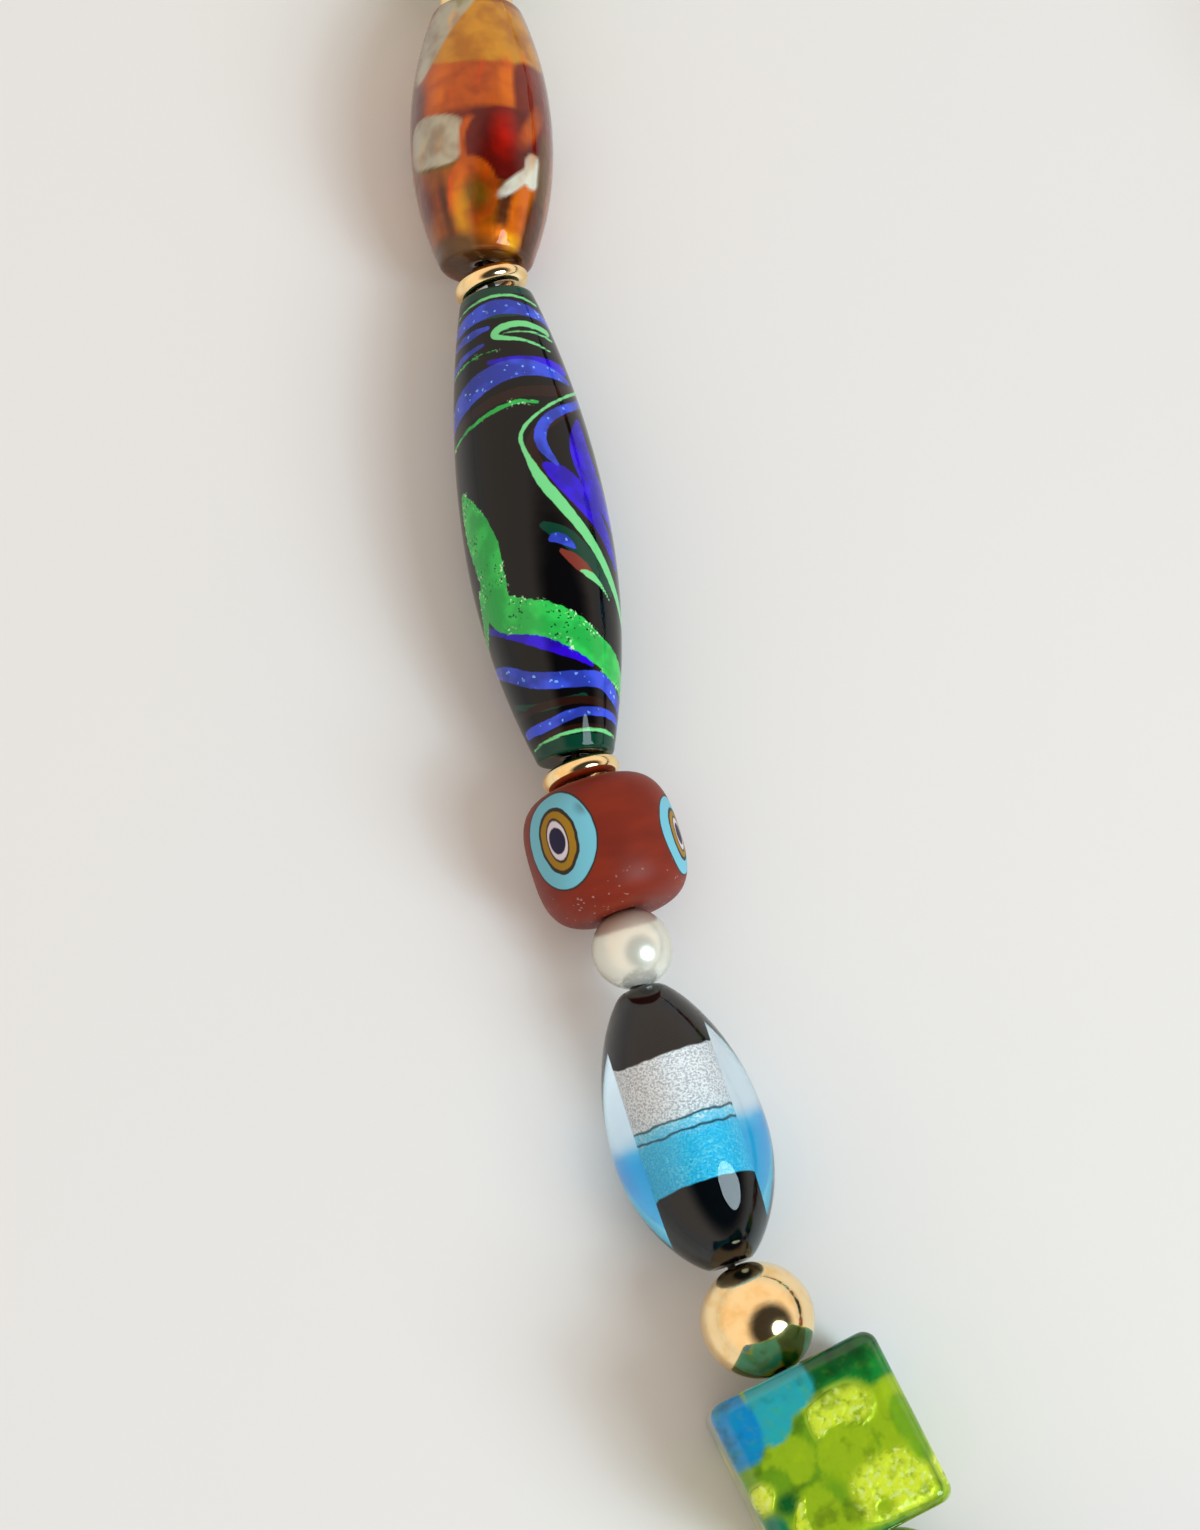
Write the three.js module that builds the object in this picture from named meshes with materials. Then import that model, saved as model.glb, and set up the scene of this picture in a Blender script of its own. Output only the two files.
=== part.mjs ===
// A beaded necklace laid down as a closed loop on a flat surface. Millimetres, +Z up.
// Lampwork glass beads, imitation pearls and gilt spacers are strung on one thread,
// which runs through a bore in each.
// The large beads lie on the surface z = 0, and the thread holds the small ones up between them.
import * as THREE from "three";

// Sizes of the beads, along and across the thread
const barrelLength = 22.1;
const barrelRadius = 5.7;
const barrelEndRadius = 3.6;
const barrelBulgeShift = 0.4;
const spindleLength = 37.8;
const spindleRadius = 5.7;
const spindleEndRadius = 2.9;
const spindleBulgeShift = 1.6;
const eyeLength = 10.1;
const eyeRadius = 5.75;
const ovalLength = 21;
const ovalRadius = 5.75;
const ovalEndRadius = 1.45;
const ovalBulgeShift = 1.2;
const cubeLength = 12.6;
const cubeWidth = 12.7;
const cubeEdgeRadius = 1;
const cubeCornerRadius = 0.25;
const ballRadius = 4.1;
const pearlRadius = 3;
const ringRadius = 3;
const ringWireRadius = 0.75;
const claspLength = 14;
const claspRadius = 3.6;
const claspEndRadius = 2.2;

// The thread, the bores that it runs in and the mouths where a round bead nests in its neighbour
const threadRadius = 0.35;
const threadClearance = 0.35;
const threadEndGap = 1;
const boreRadius = threadRadius + threadClearance;
const plainMouthRadius = 1;
const eyeMouthRadius = 1.9;
const ovalMouthRadius = 1.3;
const ringMouthRadius = 1.9;
const beadGap = 0.22;

// Facets: sides round a large bead, a small bead and the thread, and steps along each profile
const largeSides = 16;
const smallSides = 12;
const threadSides = 6;
const profileSteps = 10;
const ballSteps = 7;
const ringSteps = 6;
const cubeEdgeSteps = 2;

// Searches: the first stride along the route as a share of it, the sizes that the route is tried at,
// the halvings that close in on an answer, and the rounds in which the gaps settle
const routeStride = 0.0005;
const smallestRoute = 0.3;
const largestRoute = 3;
const searchHalvings = 32;
const gapRounds = 8;

// How each profile swells between its ends: radius = end + (middle - end) * (1 - |x| ** belly) ** shoulder
const barrelSwell = { belly: 2.1, shoulder: 1 };
const spindleSwell = { belly: 2, shoulder: 1 };
const eyeSwell = { belly: 3, shoulder: 1 / 3 };
const ovalSwell = { belly: 2, shoulder: 0.78 };
const claspSwell = { belly: 4, shoulder: 0.5 };

// Points that the string follows on the surface, seen from above, from the left side's top anticlockwise
const routePoints = [
  [-9.95, 62.8],
  [-9.05, 40.7],
  [-8.2, 38.1],
  [-1.75, 0.2],
  [-1, -2],
  [1.9, -11.5],
  [2.85, -16.7],
  [9.05, -36.3],
  [12.1, -42.6],
  [17.7, -54.5],
  [29, -67.5],
  [50.6, -74.5],
  [76.8, -63.7],
  [87.6, -37.5],
  [81.5, 8],
  [69, 65.5],
  [60, 100.5],
  [48.8, 117.6],
  [24.6, 126.2],
  [-1.6, 115.4],
  [-12.2, 89.5],
];

// The order on the thread, from the route's first point
const order = [
  "foil_barrel",
  "spacer_ring",
  "swirl_spindle",
  "spacer_ring",
  "eye_bead",
  "pearl",
  "core_oval",
  "gilt_ball",
  "foil_cube",
  "gilt_ball",
  "eye_bead",
  "pearl",
  "core_oval",
  "gilt_ball",
  "foil_cube",
  "gilt_ball",
  "foil_barrel",
  "spacer_ring",
  "swirl_spindle",
  "spacer_ring",
  "eye_bead",
  "pearl",
  "core_oval",
  "gilt_ball",
  "foil_cube",
  "gilt_ball",
  "foil_barrel",
  "spacer_ring",
  "eye_bead",
  "pearl",
  "core_oval",
  "gilt_ball",
  "clasp",
  "gilt_ball",
  "core_oval",
  "pearl",
  "eye_bead",
  "gilt_ball",
  "foil_cube",
  "gilt_ball",
  "spacer_ring",
];

function finish(color, roughness, metalness) {
  return new THREE.MeshStandardMaterial({ color, roughness, metalness });
}

const gilt = finish(0xe8bf7a, 0.15, 1);

// A flat-sided ring of facets touches a circle from outside, so its corners stand this much further out.
function cornerShare(sides) {
  return 1 / Math.cos(Math.PI / sides);
}

// How deep a ball sinks into a round mouth before it touches the rim.
function nestDepth(ball, mouth) {
  return ball - Math.sqrt(ball ** 2 - mouth ** 2);
}

// A closed profile, given as pairs of radius and height up the outside, turned about the Y axis.
// One of its facets faces down, so that the bead lies flat on it.
function turned(outside, sides) {
  const bore = boreRadius * cornerShare(sides);
  const closed = outside.map(([r, y]) => new THREE.Vector2(r * cornerShare(sides), y));
  if (closed[0].x > bore) closed.unshift(new THREE.Vector2(bore, -nearMouth(outside)));
  if (closed.at(-1).x > bore) closed.push(new THREE.Vector2(bore, nearMouth(outside)));
  closed.push(closed[0].clone());
  return new THREE.LatheGeometry(closed, sides, Math.PI / sides);
}

// Height of the narrow end of the mouth's cone: deep enough for the smallest ball that nests there.
function nearMouth(outside) {
  const [mouth, height] = outside.at(-1);
  return height - nestDepth(pearlRadius, mouth) - beadGap;
}

// A long bead: mouth, flat end and a side that swells to its widest place, which may lie off the middle.
function longBead({ length, radius, endRadius, mouthRadius, swell, bulgeShift = 0 }) {
  const end = length / 2;
  const side = [];
  for (let i = 0; i <= profileSteps; i += 1) {
    const x = -Math.cos((Math.PI * i) / profileSteps);
    const fullness = (1 - Math.abs(x) ** swell.belly) ** swell.shoulder;
    side.push([endRadius + (radius - endRadius) * fullness, x * end + (1 - Math.abs(x)) * bulgeShift]);
  }
  return turned([[mouthRadius, -end], ...side, [mouthRadius, end]], largeSides);
}

// A drilled ball: an arc from one mouth of its bore to the other.
function drilledBall({ radius }) {
  const outside = [];
  const firstAngle = Math.asin(boreRadius / radius);
  for (let i = 0; i <= ballSteps; i += 1) {
    const angle = firstAngle + ((Math.PI - 2 * firstAngle) * i) / ballSteps;
    outside.push([radius * Math.sin(angle), -radius * Math.cos(angle)]);
  }
  return turned(outside, smallSides);
}

// A ring of round wire.
function roundRing({ radius, wireRadius }) {
  const wire = [];
  for (let i = 0; i < ringSteps; i += 1) {
    const angle = -(2 * Math.PI * (i + 0.5)) / ringSteps;
    const corner = wireRadius * cornerShare(ringSteps);
    const across = radius - wireRadius - corner * Math.cos(angle);
    wire.push(new THREE.Vector2(across * cornerShare(smallSides), corner * Math.sin(angle)));
  }
  wire.push(wire[0].clone());
  return new THREE.LatheGeometry(wire, smallSides, Math.PI / smallSides);
}

// Four quarter arcs about corners at this distance from the middle: a rounded square,
// or a circle where it is 0.
function quarterArcs(path, distance, radius) {
  for (let quarter = 0; quarter < 4; quarter += 1) {
    const start = (quarter * Math.PI) / 2;
    const x = distance * Math.SQRT2 * Math.cos(start + Math.PI / 4);
    const y = distance * Math.SQRT2 * Math.sin(start + Math.PI / 4);
    path.absarc(x, y, radius, start, start + Math.PI / 2);
  }
  return path;
}

// A cube with rounded edges, drilled through two faces.
function drilledCube({ length, width, edgeRadius, cornerRadius }) {
  const face = quarterArcs(new THREE.Shape(), width / 2 - edgeRadius - cornerRadius, cornerRadius);
  face.holes.push(quarterArcs(new THREE.Path(), 0, boreRadius + edgeRadius));
  const geometry = new THREE.ExtrudeGeometry(face, {
    depth: length - 2 * edgeRadius,
    bevelThickness: edgeRadius,
    bevelSize: edgeRadius,
    bevelSegments: cubeEdgeSteps,
    curveSegments: cubeEdgeSteps / 2,
  });
  geometry.translate(0, 0, edgeRadius - length / 2);
  return geometry.rotateX(-Math.PI / 2);
}

// Every kind of piece: its sizes, how it is made, and the radius at which a neighbour's end meets it.
// A kind that lies rests on the surface, so its radius is also its axis's height.
const kinds = {
  foil_barrel: {
    make: longBead,
    lies: true,
    length: barrelLength,
    radius: barrelRadius,
    endRadius: barrelEndRadius,
    mouthRadius: plainMouthRadius,
    meetRadius: barrelEndRadius,
    swell: barrelSwell,
    bulgeShift: barrelBulgeShift,
    material: finish(0xb8560f, 0.08, 0.2),
  },
  swirl_spindle: {
    make: longBead,
    lies: true,
    length: spindleLength,
    radius: spindleRadius,
    endRadius: spindleEndRadius,
    mouthRadius: plainMouthRadius,
    meetRadius: spindleEndRadius,
    swell: spindleSwell,
    bulgeShift: spindleBulgeShift,
    material: finish(0x12203a, 0.06, 0),
  },
  eye_bead: {
    make: longBead,
    lies: true,
    length: eyeLength,
    radius: eyeRadius,
    endRadius: eyeMouthRadius,
    mouthRadius: eyeMouthRadius,
    meetRadius: eyeMouthRadius,
    swell: eyeSwell,
    material: finish(0x8a2f1c, 0.55, 0),
  },
  core_oval: {
    make: longBead,
    lies: true,
    length: ovalLength,
    radius: ovalRadius,
    endRadius: ovalEndRadius,
    mouthRadius: ovalMouthRadius,
    meetRadius: ovalEndRadius,
    swell: ovalSwell,
    bulgeShift: ovalBulgeShift,
    material: finish(0x3fa8d8, 0.04, 0),
  },
  foil_cube: {
    make: drilledCube,
    lies: true,
    length: cubeLength,
    width: cubeWidth,
    radius: cubeWidth / 2,
    edgeRadius: cubeEdgeRadius,
    cornerRadius: cubeCornerRadius,
    mouthRadius: boreRadius + cubeEdgeRadius,
    meetRadius: cubeWidth / 2,
    material: finish(0x7fae1e, 0.08, 0.2),
  },
  gilt_ball: {
    make: drilledBall,
    ball: true,
    radius: ballRadius,
    mouthRadius: boreRadius,
    meetRadius: plainMouthRadius,
    material: gilt,
  },
  pearl: {
    make: drilledBall,
    ball: true,
    radius: pearlRadius,
    mouthRadius: boreRadius,
    meetRadius: plainMouthRadius,
    material: finish(0xe9e4d6, 0.3, 0),
  },
  spacer_ring: {
    make: roundRing,
    length: 2 * ringWireRadius,
    radius: ringRadius,
    wireRadius: ringWireRadius,
    mouthRadius: ringMouthRadius,
    meetRadius: ringRadius - ringWireRadius,
    material: gilt,
  },
  clasp: {
    make: longBead,
    lies: true,
    length: claspLength,
    radius: claspRadius,
    endRadius: claspEndRadius,
    mouthRadius: plainMouthRadius,
    meetRadius: claspEndRadius,
    swell: claspSwell,
    material: gilt,
  },
};

const pieces = order.map((name) => kinds[name]);
const count = pieces.length;

function neighbour(i, step) {
  return pieces[(i + step + count) % count];
}

// How far piece i reaches along the thread towards the neighbour that it meets.
function reach(i, step) {
  const piece = pieces[i];
  if (piece.ball) return piece.radius - nestDepth(piece.radius, neighbour(i, step).mouthRadius);
  return piece.length / 2;
}

// The thread's height in the joint before piece i: a lying piece keeps it level with its own axis.
// A joint with a hanging piece on either side takes the height of the lying piece that follows them.
function jointHeight(i) {
  const beside = [neighbour(i, 0), neighbour(i, -1), neighbour(i, 1)];
  return beside.find((piece) => piece.lies).radius;
}

// Joints between the pieces, one chord after another along the closed route,
// and how much of the route they use.
function walkRoute(scale, pitches) {
  const corners = routePoints.map(([x, y]) => new THREE.Vector3(x, y, 0).multiplyScalar(scale));
  const route = new THREE.CatmullRomCurve3(corners, true, "centripetal");
  const joints = [route.getPoint(0)];
  let u = 0;
  pitches.forEach((pitch, i) => {
    const chord = Math.sqrt(pitch ** 2 - (jointHeight(i + 1) - jointHeight(i)) ** 2);
    const from = joints.at(-1);
    let near = u;
    let far = u;
    while (from.distanceTo(route.getPoint(far % 1)) < chord) {
      near = far;
      far += routeStride;
    }
    for (let halving = 0; halving < searchHalvings; halving += 1) {
      const middle = (near + far) / 2;
      if (from.distanceTo(route.getPoint(middle % 1)) < chord) near = middle;
      else far = middle;
    }
    u = far;
    joints.push(route.getPoint(u % 1));
  });
  return { joints, used: u };
}

// The route is drawn to the size at which the string of pieces just closes it.
function closeLoop(pitches) {
  let small = smallestRoute;
  let large = largestRoute;
  for (let halving = 0; halving < searchHalvings; halving += 1) {
    const scale = Math.sqrt(small * large);
    if (walkRoute(scale, pitches).used > 1) small = scale;
    else large = scale;
  }
  const { joints } = walkRoute(large, pitches);
  joints[count] = joints[0];
  return joints.map(({ x, y }, i) => new THREE.Vector3(x, y, jointHeight(i)));
}

// Gaps in the joints. Where the thread bends, flat ends would bite on the inside,
// so their gap opens with the bend.
function bendGaps(joints) {
  return pieces.map((piece, i) => {
    const before = joints[(i - 1 + count) % count].clone().sub(joints[i]).negate();
    const after = joints[i + 1].clone().sub(joints[i]);
    const bend = before.angleTo(after);
    const meeting = Math.min(piece.meetRadius, neighbour(i, -1).meetRadius);
    return beadGap + meeting * Math.tan(bend);
  });
}

let gaps = pieces.map(() => beadGap);
let joints;
for (let round = 0; round < gapRounds; round += 1) {
  const pitches = pieces.map((_, i) => {
    const solid = reach(i, -1) + reach(i, 1);
    return solid + (gaps[i] + gaps[(i + 1) % count]) / 2;
  });
  joints = closeLoop(pitches);
  gaps = bendGaps(joints);
}

const necklace = new THREE.Group();
const geometries = new Map();
const copies = new Map();

// Each piece sits on its own straight stretch of thread, turned so that its underside faces the surface.
order.forEach((name, i) => {
  const piece = pieces[i];
  if (!geometries.has(name)) geometries.set(name, piece.make(piece));
  copies.set(name, (copies.get(name) ?? 0) + 1);
  const mesh = new THREE.Mesh(geometries.get(name), piece.material);
  mesh.name = name === "clasp" ? name : `${name}_${copies.get(name)}`;
  const along = joints[i + 1].clone().sub(joints[i]).normalize();
  const across = along.clone().cross(new THREE.Vector3(0, 0, 1)).normalize();
  const upward = across.clone().cross(along);
  const centre = gaps[i] / 2 + reach(i, -1);
  mesh.setRotationFromMatrix(new THREE.Matrix4().makeBasis(across, along, upward));
  mesh.position.copy(joints[i]).addScaledVector(along, centre);
  necklace.add(mesh);
});

// The thread is straight inside each bead and bends in the joints only.
class StringPath extends THREE.Curve {
  constructor(corners) {
    super();
    this.corners = corners;
  }

  getPoint(share, target = new THREE.Vector3()) {
    const place = share * (this.corners.length - 1);
    const i = Math.min(Math.floor(place), this.corners.length - 2);
    return target.lerpVectors(this.corners[i], this.corners[i + 1], place - i);
  }

  getUtoTmapping(share) {
    return share;
  }
}

// Both ends of the thread are held inside the clasp, a little apart.
function makeThread() {
  const claspIndex = order.indexOf("clasp");
  const along = joints[claspIndex + 1].clone().sub(joints[claspIndex]).normalize();
  const middle = joints[claspIndex].clone().add(joints[claspIndex + 1]).multiplyScalar(0.5);
  const corners = [
    middle.clone().addScaledVector(along, threadEndGap / 2),
    ...joints.slice(claspIndex + 1, count),
    ...joints.slice(0, claspIndex + 1),
    middle.clone().addScaledVector(along, -threadEndGap / 2),
  ];
  const section = new THREE.Shape().absarc(0, 0, threadRadius, 0, 2 * Math.PI);
  return new THREE.ExtrudeGeometry(section, {
    steps: corners.length - 1,
    curveSegments: threadSides / 2,
    bevelEnabled: false,
    extrudePath: new StringPath(corners),
  });
}

const thread = new THREE.Mesh(makeThread(), finish(0x2a2622, 0.7, 0));
thread.name = "thread";
necklace.add(thread);

// The middle of the loop's outline is the origin, on the surface that it lies on.
const outline = new THREE.Box3().setFromObject(necklace, true);
const middle = outline.getCenter(new THREE.Vector3());
necklace.position.set(-middle.x, -middle.y, -outline.min.z);

export default necklace;
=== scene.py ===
# %% [markdown]
# # A beaded necklace of glass, pearl and gilt
# The necklace lies on a pale plate as one closed string of large glass beads with small round ones between them.
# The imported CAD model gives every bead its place. This lesson loads it, reads the string from it, and dresses
# each bead in its real surface: smooth glass, metal foil under glass, matt clay-red glass, pearl and polished gilt.

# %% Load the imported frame
import math

import bpy
import numpy as np
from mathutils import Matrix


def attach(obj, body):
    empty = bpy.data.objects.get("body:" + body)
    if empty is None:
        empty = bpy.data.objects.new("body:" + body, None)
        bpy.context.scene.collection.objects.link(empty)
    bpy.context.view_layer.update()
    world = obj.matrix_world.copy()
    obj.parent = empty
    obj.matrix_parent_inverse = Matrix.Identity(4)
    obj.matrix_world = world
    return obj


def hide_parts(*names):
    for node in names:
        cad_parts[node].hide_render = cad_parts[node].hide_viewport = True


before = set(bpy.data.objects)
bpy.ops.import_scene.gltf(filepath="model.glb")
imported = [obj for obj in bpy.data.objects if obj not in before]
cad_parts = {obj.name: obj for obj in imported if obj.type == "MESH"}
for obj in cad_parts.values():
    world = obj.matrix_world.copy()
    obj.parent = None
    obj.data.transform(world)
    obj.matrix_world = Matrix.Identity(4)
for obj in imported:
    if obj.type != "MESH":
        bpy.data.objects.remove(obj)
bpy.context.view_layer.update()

PHOTO_HEIGHT = 1530
MM = 0.001
FAR = 9.0  # a distance past every pattern's edge, in mm

# %% [markdown]
# ## The camera
# The photograph looks down at the plate from the string's near side, 15 degrees off the vertical. The picture shows
# a small part of the necklace, so the camera stands close, about 20 cm away. It comes first, because each finish is
# judged through it. The lens follows from the focal length in the photograph's own pixels.

# %% Camera
CAMERA_PLACE = np.array([-36.362, -78.429, 203.815])
CAMERA_TARGET = np.array([-36.362, -25.371, 5.8])
CLIP_START, CLIP_END = 0.01, 20
FOCAL_PIXELS = 2734
SENSOR = 36.0


def look_from(thing, place, target):
    """Puts a camera or a light at a place, in mm, and turns its -Z axis to the target."""
    from mathutils import Vector
    thing.location = Vector(place) * MM
    thing.rotation_euler = Vector(target - place).to_track_quat("-Z", "Y").to_euler()


camera = bpy.data.objects.new("camera", bpy.data.cameras.new("camera"))
camera.data.sensor_width = SENSOR
camera.data.lens = SENSOR * FOCAL_PIXELS / PHOTO_HEIGHT
camera.data.clip_start, camera.data.clip_end = CLIP_START, CLIP_END
look_from(camera, CAMERA_PLACE, CAMERA_TARGET)
bpy.context.scene.collection.objects.link(camera)
bpy.context.scene.camera = camera
print("lens:", round(camera.data.lens, 2), "mm on a", SENSOR, "mm sensor")

# %% [markdown]
# ## The string, read from the thread
# Every bead sits on a straight stretch of thread. The thread's CAD solid is a six-sided tube, so six of its corners
# stand round each point where it bends. The loop goes once round the origin, so sorting the corners by their angle
# about it puts those sixes in order, and the mean of each six is a point of the string.

# %% Corners of the thread
THREAD_SIDES = 6


def corners_of(node):
    """The different corners of a CAD node's mesh, in mm."""
    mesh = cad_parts[node].data
    flat = np.empty(3 * len(mesh.vertices))
    mesh.vertices.foreach_get("co", flat)
    return np.unique(np.round(flat.reshape(-1, 3) / MM, 3), axis=0)


thread_corners = corners_of("thread")
order = np.argsort(np.arctan2(thread_corners[:, 1], thread_corners[:, 0]))
string = thread_corners[order].reshape(-1, THREAD_SIDES, 3).mean(axis=1)
stretches = np.roll(string, -1, axis=0) - string
print("string:", len(string), "points,", round(float(np.linalg.norm(stretches, axis=1).sum())), "mm round")

# %% [markdown]
# ## The place of a bead
# A bead's own axes are: inward, to the middle of the loop; along, the way the string runs anticlockwise; and upward.
# Shapes and patterns are drawn once in these axes, in millimetres, and then carried to each bead. A loose ring may
# lean on the string, so its axis is the direction in which its own corners spread least.

# %% Axes of a bead
def place_of(node):
    """Centre and the three axes of a bead: its corners give the centre, and the nearest stretch its direction."""
    corners = corners_of(node)
    middle = corners.mean(axis=0)
    share = np.clip(((middle - string) * stretches).sum(1) / (stretches ** 2).sum(1), 0, 1)
    nearest = np.argmin(np.linalg.norm(string + share[:, None] * stretches - middle, axis=1))
    along = stretches[nearest] / np.linalg.norm(stretches[nearest])
    if node.startswith("spacer_ring"):
        own = np.linalg.svd(corners - middle)[2][2]
        along = own * np.sign(own @ along)
    inward = np.cross([0, 0, 1], along)
    inward /= np.linalg.norm(inward)
    heights = (corners - middle) @ along
    centre = middle + along * (heights.max() + heights.min()) / 2
    return {"centre": centre, "axes": np.array([inward, along, np.cross(along, inward)])}


places = {node: place_of(node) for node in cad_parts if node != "thread"}
print("beads:", len(places), "first:", places["foil_barrel_1"]["centre"].round(2))

# %% [markdown]
# ## A surface from a grid
# Each bead is a closed outline carried once round the thread. That is a grid of two parameters that closes on itself
# both ways, like a ring doughnut, so it has no seam, no pole and a real bore. Numpy works out the whole grid at once.

# %% Grid, faces and turning
def closed_faces(rows, columns):
    """Four-sided faces of a grid that closes both ways: each joins point (i, j) to the next row and column."""
    index = np.arange(rows * columns).reshape(rows, columns)
    down, right = np.roll(index, -1, axis=0), np.roll(index, -1, axis=1)
    return np.stack([index, right, np.roll(down, -1, axis=1), down], axis=-1).reshape(-1, 4)


def facing_out(points, faces):
    """The same faces, turned round if the volume that they enclose comes out negative."""
    a, b, c, d = (points[faces[:, k]] for k in range(4))
    volume = (np.cross(b - a, c - a) * a).sum() + (np.cross(c - a, d - a) * a).sum()
    return faces if volume > 0 else faces[:, ::-1]


def turned(outline, sides):
    """A closed outline of (radius, along) carried round the thread:
    inward = radius sin(turn), upward = radius cos(turn)."""
    turn = np.linspace(0, 2 * np.pi, sides, endpoint=False)
    radius, along = outline.T
    points = np.stack([np.outer(radius, np.sin(turn)), np.outer(along, np.ones(sides)),
                       np.outer(radius, np.cos(turn))], axis=-1).reshape(-1, 3)
    return points, closed_faces(len(outline), sides)


print("a grid of 3 rows and 4 columns closes with", len(closed_faces(3, 4)), "faces")

# %% [markdown]
# ## Outlines that a flame has rounded
# Lampwork glass has no sharp edge: the flame melts every corner round. So an outline is drawn with its plain corners
# first, and then each of its points is replaced by the mean of its neighbours over a fraction of a millimetre.

# %% Outlines
BORE = 0.7
FINE_STEP = 0.04
BORE_THINNING = 12
SIDE_POINTS, ARC_POINTS = 160, 120


def spaced(line, step):
    """The same closed line with points an even step apart."""
    ring = np.vstack([line, line[:1]])
    length = np.concatenate([[0], np.cumsum(np.linalg.norm(np.diff(ring, axis=0), axis=1))])
    at = np.arange(0, length[-1], step)
    return np.stack([np.interp(at, length, ring[:, k]) for k in range(2)], axis=1)


def melted(line, reach, step):
    """Rounds the corners of a closed line: every point becomes the mean of those within reach.
    Points are then kept at about the step given, and few of them in the bore, which is out of sight."""
    fine = spaced(line, FINE_STEP)
    width = max(1, int(reach / FINE_STEP))
    soft = sum(np.roll(fine, k, axis=0) for k in range(-width, width + 1)) / (2 * width + 1)
    soft = np.maximum(soft, [BORE, -np.inf])
    even = soft[::max(1, int(step / FINE_STEP))]
    in_bore = even[:, 0] < BORE + 0.01
    return even[~in_bore | (np.arange(len(even)) % BORE_THINNING == 0)]


def swelling(length, radius, end_radius, belly, shoulder, shift=0.0):
    """A long bead's side as (radius, along), for x from -1 at one end to 1 at the other:
    the end's radius plus the rest of the radius times (1 - |x| ** belly) ** shoulder.
    A shift moves the widest place along the thread, by (1 - |x|) of it."""
    x = -np.cos(np.linspace(0, np.pi, SIDE_POINTS))
    rise = (1 - np.abs(x) ** belly) ** shoulder
    return np.stack([end_radius + (radius - end_radius) * rise, x * length / 2 + (1 - np.abs(x)) * shift], axis=1)


def drilled(side, mouth, depth, reach=0.22, step=0.2):
    """Closes a side with its flat ends, the mouths of its bore, of that radius and depth, and the bore; melts it."""
    low, high = side[0, 1], side[-1, 1]
    first, last = [[mouth, low]], [[mouth, high], [BORE, high - depth], [BORE, low + depth]]
    return melted(np.vstack([first, side, last]), reach, step)


def arc_side(radius):
    """A ball's side: a half circle of that radius from one mouth of its bore to the other."""
    angle = np.linspace(math.asin(BORE / radius), np.pi - math.asin(BORE / radius), ARC_POINTS)
    return np.stack([radius * np.sin(angle), -radius * np.cos(angle)], axis=1)


BARREL_SIDE = swelling(length=22.1, radius=5.7, end_radius=3.6, belly=2.1, shoulder=1, shift=0.4)
SPINDLE_SIDE = swelling(length=37.8, radius=5.7, end_radius=2.9, belly=2, shoulder=1, shift=1.6)
EYE_SIDE = swelling(length=10.1, radius=5.75, end_radius=1.9, belly=3, shoulder=1 / 3)
OVAL_SIDE = swelling(length=21, radius=5.75, end_radius=1.45, belly=2, shoulder=0.78, shift=1.2)
CLASP_SIDE = swelling(length=14, radius=3.6, end_radius=2.2, belly=4, shoulder=0.5)
PEARL_RADIUS, BALL_RADIUS = 3, 4.1
SIDES = {"barrel": 144, "spindle": 176, "eye": 128, "oval": 112, "core": 80, "ball": 84, "small": 72}
print("spindle outline:", len(drilled(SPINDLE_SIDE, mouth=1, depth=0.4)), "points")

# %% [markdown]
# ## From arrays to a piece
# A piece may have more than one closed surface, such as foil inside its glass. They go into one mesh, each with its
# own material. The bead's own coordinates are kept on every point as an attribute, because a pattern that reads them
# stays on the bead wherever the string carries it. A repeated bead is turned about the thread, so no two look alike.

# %% Put a piece on the string
def put_piece(node, surfaces, materials, turn=0.0, flip=False):
    """One mesh from several (points, faces, fields), turned about the thread, carried to its place and given over."""
    place = places[node]
    c, s = math.cos(math.radians(turn)), math.sin(math.radians(turn))
    way = -1.0 if flip else 1.0
    own = np.array([[way * c, 0, -s], [0, way, 0], [way * s, 0, c]])
    points = np.vstack([surface[0] for surface in surfaces])
    placed = place["centre"] + points @ own @ place["axes"]
    starts = np.cumsum([0] + [len(surface[0]) for surface in surfaces])
    faces = np.vstack([facing_out(placed[start:], surface[1]) + start for surface, start in zip(surfaces, starts)])
    mesh = bpy.data.meshes.new(node + "_bead")
    mesh.from_pydata(placed * MM, [], faces)
    mesh.polygons.foreach_set("use_smooth", np.ones(len(faces), bool))
    mesh.polygons.foreach_set("material_index", np.repeat(np.arange(len(surfaces)), [len(f[1]) for f in surfaces]))
    mesh.attributes.new("bead", "FLOAT_VECTOR", "POINT").data.foreach_set("vector", points.astype(np.float32).ravel())
    for name in sorted({key for surface in surfaces for key in surface[2]}):
        kind, key, missing = ("FLOAT_COLOR", "color", np.zeros(4)) if name == "paint" else ("FLOAT", "value", FAR)
        values = [surface[2].get(name, np.tile(missing, (len(surface[0]), 1))).reshape(len(surface[0]), -1)
                  for surface in surfaces]
        data = np.concatenate(values).astype(np.float32).ravel()
        mesh.attributes.new(name, kind, "POINT").data.foreach_set(key, data)
    for material in materials:
        mesh.materials.append(material)
    mesh.update()
    piece = bpy.data.objects.new(node + "_bead", mesh)
    bpy.context.scene.collection.objects.link(piece)
    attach(piece, "root")
    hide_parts(node)


def put_kind(kind, surfaces, materials, step, flip_odd=False):
    """Puts every bead of one kind on the string, each turned a step in degrees further about the thread."""
    nodes = sorted((n for n in places if n.startswith(kind)), key=lambda n: int(n.rsplit("_", 1)[1]))
    for number, node in enumerate(nodes):
        put_piece(node, surfaces, materials, turn=number * step, flip=flip_odd and number % 2 == 1)
    print(kind + ":", len(nodes), "pieces of", sum(len(surface[1]) for surface in surfaces), "faces")


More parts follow.
